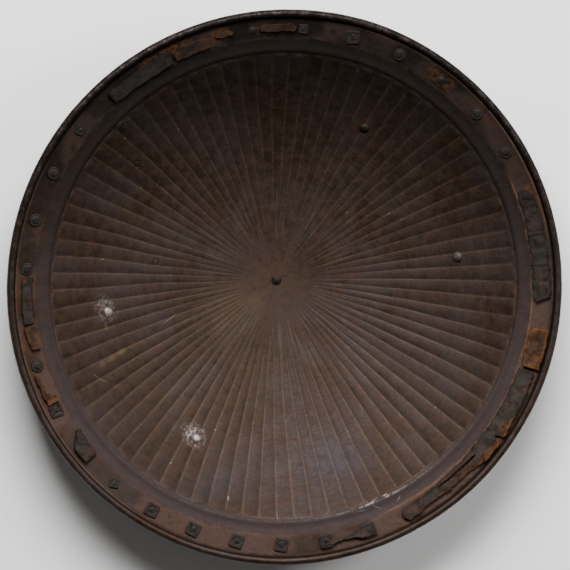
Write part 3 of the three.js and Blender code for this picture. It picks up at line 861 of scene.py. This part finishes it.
# Leather: rows of place along the rivets, inner edge and outer edge from the rivet row in mm;
# tan says how orange it is, bulges are the rivet ends that it hides
leatherPieces = {
    "leather_strip_right": {
        "rows": [[30.88, -6, 1], [31.02, -9, 6], [32.6, -10, 7], [33.2, -9.5, 9], [33.33, -7, -4]],
        "tan": 0.15, "bulges": [31, 32, 33], "curl": 0.5, "ribs": [31.85, 32.2], "fold": 32.5},
    "leather_patch_tab": {
        "rows": [[-0.1, -6, 10], [0.12, -9.5, 10.2], [0.6, -9, 10.2], [0.78, -6, 9.5]],
        "tan": 1.0, "bulges": [], "curl": 1.2},
    "leather_strip_torn": {
        "rows": [[0.86, -9.5, 7], [2.95, -10, 10], [3.35, -9, 4.5], [4.7, -6, 4.5],
                 [4.82, -6, 7.5], [5.1, -6, 7.5], [5.19, -1.5, 3]],
        "tan": 0.35, "bulges": [4], "curl": 0.9,
        "slot": [3.04, 4.2, -2.5, -4.3, 1.7],    # from and to, its line there, half its width
        "notch": [2.45, 0.07, 8]},               # place, half its width, depth
    "leather_waist": {
        "rows": [[5.88, -5, 5], [6.2, -3.5, 5], [6.5, 0.3, 2.2], [6.65, 0, 2.2],
                 [6.85, -4, 4], [7.12, -5, 5]],
        "tan": 0.0, "bulges": [], "curl": 0.2},
    "leather_trapezoid": {
        "rows": [[12.74, -9.5, 5.5], [13.14, -10.5, 6], [13.41, -10.5, -7]],
        "tan": 0.15, "bulges": [13], "curl": 1.3},
    "leather_scrap_1": {
        "rows": [[14.15, -7, 5], [14.3, -7, 5.5], [14.4, 1, 5.5], [14.85, 2, 6]],
        "tan": 0.78, "bulges": [], "curl": 0.4},
    "leather_scrap_2": {
        "rows": [[15.34, -8, 0], [15.5, -8, 3], [15.8, -8, 5], [15.84, -5, 0]],
        "tan": 0.78, "bulges": [], "curl": 0.4},
    "leather_scrap_3": {
        "rows": [[15.88, -5, 5], [16.3, -6, 5], [16.7, -6, 4.5], [16.85, -7, 3]],
        "tan": 0.35, "bulges": [], "curl": 0.6},
    "leather_scrap_4": {
        "rows": [[20.88, -8, 4], [21.2, -9.5, 4.5], [22, -9.5, 5.5], [22.3, -8, 5.5]],
        "tan": 0.1, "bulges": [], "curl": 0.5},
    "leather_scrap_5": {
        "rows": [[22.37, -7, -2], [22.5, -8, 5], [22.9, -8, 5], [23.12, -7, 3]],
        "tan": 0.8, "bulges": [], "curl": 0.5},
    "leather_scrap_6": {
        "rows": [[23.25, 0, 3], [23.38, -2, 5], [23.5, -1, 5], [23.6, 0, 3]],
        "tan": 1.0, "bulges": [], "curl": 0.3},
    "leather_scrap_7": {
        "rows": [[24.13, -1, 4], [24.3, -3, 5], [24.8, -3, 5], [24.85, -1, 3]],
        "tan": 0.85, "bulges": [], "curl": 0.3},
}


def placeAngle(place):
    # between two rivets, in proportion; the row goes on past the last one to the first
    known = np.append(rimAngles, rimAngles[0] - fullTurn)
    known = np.insert(known, 0, rimAngles[-1] + fullTurn)
    return np.interp(place, np.arange(-1, 35), known)


def leatherPiece(node, shape, material, seed):
    # the top face as a grid (place, share across), height = border + thickness + curl, then Solidify
    rows = np.array(shape["rows"], float)
    pitch = rivetRadius * fullTurn / len(rimNames)
    steps = max(8, int((rows[-1, 0] - rows[0, 0]) * pitch / leather["cell"]))
    place = np.linspace(rows[0, 0], rows[-1, 0], steps)
    share = np.linspace(0, 1, 15)
    inner = np.interp(place, rows[:, 0], rows[:, 1])
    outer = np.interp(place, rows[:, 0], rows[:, 2])
    if "notch" in shape:
        at, halfWidth, depth = shape["notch"]
        outer = outer - depth * np.clip(1 - np.abs(place - at) / halfWidth, 0, 1)
    angle = placeAngle(place)
    fray = leather["fray"]
    inner = inner + fray * (lumps(place * 40, 0, 0, 3, seed) + 0.5 * lumps(place * 40, 0, 0, 0.9, seed + 5))
    outer = outer + fray * (lumps(place * 40, 9, 0, 3, seed) + 0.5 * lumps(place * 40, 9, 0, 0.9, seed + 5))
    offset = inner[:, None] + (outer - inner)[:, None] * share[None, :]
    if "slot" in shape:
        # two neighbouring lines of the grid part along the tear
        begin, finish, level, levelEnd, wide = shape["slot"]
        part = (place - begin) / (finish - begin)
        middle = level + (levelEnd - level) * part + 0.35 * lumps(place * 60, 0, 0, 2, seed + 7)
        opening = wide * np.sqrt(np.clip(1 - (2 * part - 1) ** 2, 0, 1)) * (1.1 - 0.6 * part)
        inSlot = (part > 0) & (part < 1)
        low, high = 5, 6
        column = np.arange(len(share))
        below = inner[:, None] + (middle - opening - inner)[:, None] * column / low
        above = (column - high) / (len(share) - 1 - high)
        above = (middle + opening)[:, None] + (outer - middle - opening)[:, None] * above
        blend = (smooth(-0.12, 0.0, part) * smooth(1.12, 1.0, part))[:, None]
        offset = offset * (1 - blend) + np.where(column <= low, below, above) * blend
    radius = rivetRadius + offset
    spin = angle[:, None] + 0 * offset
    x = radius * np.cos(spin)
    y = radius * np.sin(spin)
    edge = np.minimum(share, 1 - share)[None, :] + 0 * offset
    ends = np.minimum(np.arange(steps), np.arange(steps)[::-1])[:, None] / 10
    border = np.minimum(edge * 5, ends)
    curl = shape["curl"] * np.exp(-border * 1.6) * (0.4 + 0.6 * lumps(x, y, 0, 12, seed + 2))
    height = np.maximum(curl, 0) + 0.28 * lumps(x, y, 0, 7, seed + 3) + 0.14 * lumps(x, y, 0, 2.8, seed + 4)
    for number in shape["bulges"]:
        bulgeAngle = placeAngle(number)
        near = np.hypot(x - rivetRadius * math.cos(bulgeAngle), y - rivetRadius * math.sin(bulgeAngle))
        height = height + 0.9 * np.exp(-(near / 4.5) ** 4)
    if "ribs" in shape:
        ribsFrom, ribsTo = shape["ribs"]
        ribbed = smooth(ribsFrom - 0.02, ribsFrom + 0.02, place)
        ribbed = ribbed * smooth(ribsTo + 0.02, ribsTo - 0.02, place)
        height = height + (ribbed * 0.45 * np.sin(place * fullTurn * 20))[:, None]
        folds = 1.1 * bump(place, shape["fold"], 0.02) + 0.7 * bump(place, ribsFrom, 0.02)
        height = height + folds[:, None]
    up = (leather["gap"] + leather["thickness"] + height) / math.cos(borderSlope)
    points = np.stack([x, y, borderHeight(radius) + up], -1)
    row = np.arange(steps - 1)[:, None] * len(share)
    column = np.arange(len(share) - 1)[None, :]
    a = row + column
    quads = np.stack([a, a + len(share), a + len(share) + 1, a + 1], -1)
    if "slot" in shape:
        keep = ~(inSlot[:-1] & inSlot[1:])[:, None] | (column != low)
        quads = quads[keep]
    name = node.replace("leather", "leatherPiece")
    piece = putMesh(name, points.reshape(-1, 3), quads.reshape(-1, 4)[:, ::-1])
    thicken = piece.modifiers.new("Thickness", "SOLIDIFY")
    thicken.thickness = leather["thickness"] * millimetre
    thicken.offset = -1
    giveValues(piece, "edge", np.exp(-border * 2.2))
    tan = shape["tan"] + 0 * x
    if "notch" in shape:
        warm = smooth(1.7, 2.3, place) * (1 - 0.6 * smooth(3.9, 4.6, place))
        tan = tan * 0.4 + warm[:, None] * smooth(-4, 6, offset) * 0.9
    if "slot" in shape:
        tan = np.maximum(tan, 0.8 * np.exp(-((offset - middle[:, None]) / 2.4) ** 2) * inSlot[:, None])
    giveValues(piece, "tan", tan)
    return finishPiece(piece, material, "old_leather", node)


def makeLeather(material):
    # one piece for each remnant of the lining
    for i, (node, values) in enumerate(leatherPieces.items()):
        leatherPiece(node, values, material, 70 + 3 * i)


# Floor, light and camera
studio = {
    "floorSize": 9.0,
    "floorColour": (242, 241, 240),
    "keyPower": 166.0,
    "keySize": (1.6, 1.0),
    "lampDistance": 2.6,
    "keyTurn": 98.0,             # degrees, from +X round to +Y
    "keyRise": 51.0,
    "sidePower": 36.0,
    "sideSize": (0.8, 0.8),
    "sideTurn": 22.0,
    "sideRise": 40.0,
    "sky": 0.10,
}


def makeFloor():
    # a flat square, pale and very slightly uneven in tone
    size = studio["floorSize"] / millimetre / 2
    points = np.array([[-size, -size, 0], [size, -size, 0], [size, size, 0], [-size, size, 0]])
    floor = putMesh("floor", points, [[0, 1, 2, 3]], smoothShade=False)
    paint = MaterialTree("paleFloor")
    pale = colourOf(*studio["floorColour"])
    uneven = paint.ramp(paint.noise(400, 2), 0.3, 0.7, 0, 0.04)
    paint.put(paint.shader.inputs["Base Color"], paint.mix(uneven, pale, colourOf(210, 208, 205)))
    paint.shader.inputs["Roughness"].default_value = 0.9
    floor.data.materials.append(paint.material)


def aimAt(thing, place, target):
    # turned so that its -Z axis looks at the target
    thing.location = place
    thing.rotation_euler = (Vector(target) - Vector(place)).to_track_quat("-Z", "Y").to_euler()


def makeLights():
    # two soft boxes, each at its turn and rise, and a weak even sky
    world = bpy.data.worlds.new("studio")
    world.use_nodes = True
    world.node_tree.nodes["Background"].inputs[0].default_value = (1.0, 0.985, 0.96, 1)
    world.node_tree.nodes["Background"].inputs[1].default_value = studio["sky"]
    bpy.context.scene.world = world
    for name in ("key", "side"):
        lamp = bpy.data.lights.new(name, "AREA")
        lamp.shape = "RECTANGLE"
        lamp.size, lamp.size_y = studio[name + "Size"]
        lamp.energy = studio[name + "Power"]
        softbox = bpy.data.objects.new(name, lamp)
        bpy.context.scene.collection.objects.link(softbox)
        turn, rise = math.radians(studio[name + "Turn"]), math.radians(studio[name + "Rise"])
        toward = Vector((math.cos(rise) * math.cos(turn), math.cos(rise) * math.sin(turn), math.sin(rise)))
        aimAt(softbox, toward * studio["lampDistance"], (0, 0, 0.06))


# The photograph looks down from its upper left, a long way off
view = {
    "distance": 12.0,
    "lean": 8.4,                 # degrees off the shield's axis
    "leanTurn": 138.0,           # degrees, from +X round to +Y
    "frameWidth": 0.5700,        # metres across the picture at the rim
    "right": 0.0001,             # where the rim's middle sits in the picture, metres
    "up": -0.0026,
}


def makeCamera():
    # a long lens, so that the picture's width at the rim is distance x sensor / focal length
    lens = bpy.data.cameras.new("camera")
    lens.sensor_width = 36
    lens.lens = 36 * view["distance"] / view["frameWidth"]
    lens.clip_end = 50
    camera = bpy.data.objects.new("camera", lens)
    bpy.context.scene.collection.objects.link(camera)
    lean, turn = math.radians(view["lean"]), math.radians(view["leanTurn"])
    away = Vector((math.sin(lean) * math.cos(turn), math.sin(lean) * math.sin(turn), math.cos(lean)))
    right = (Vector((1, 0, 0)) - away * away.x).normalized()
    up = away.cross(right)
    target = Vector((0, 0, rollZ * millimetre)) - right * view["right"] - up * view["up"]
    camera.location = target + away * view["distance"]
    camera.rotation_euler = Matrix((right, up, away)).transposed().to_euler()
    bpy.context.scene.camera = camera


makeCamera()
makeLights()
makeFloor()
print("camera, lights and floor ready")
finishPiece(platePiece(), ironPlateMaterial(), "iron_plate", "shield_plate")
print("plate ready")
makeRivets(ironRivetMaterial())
print("rivets ready")
makeLeather(leatherMaterial())
print("leather ready")
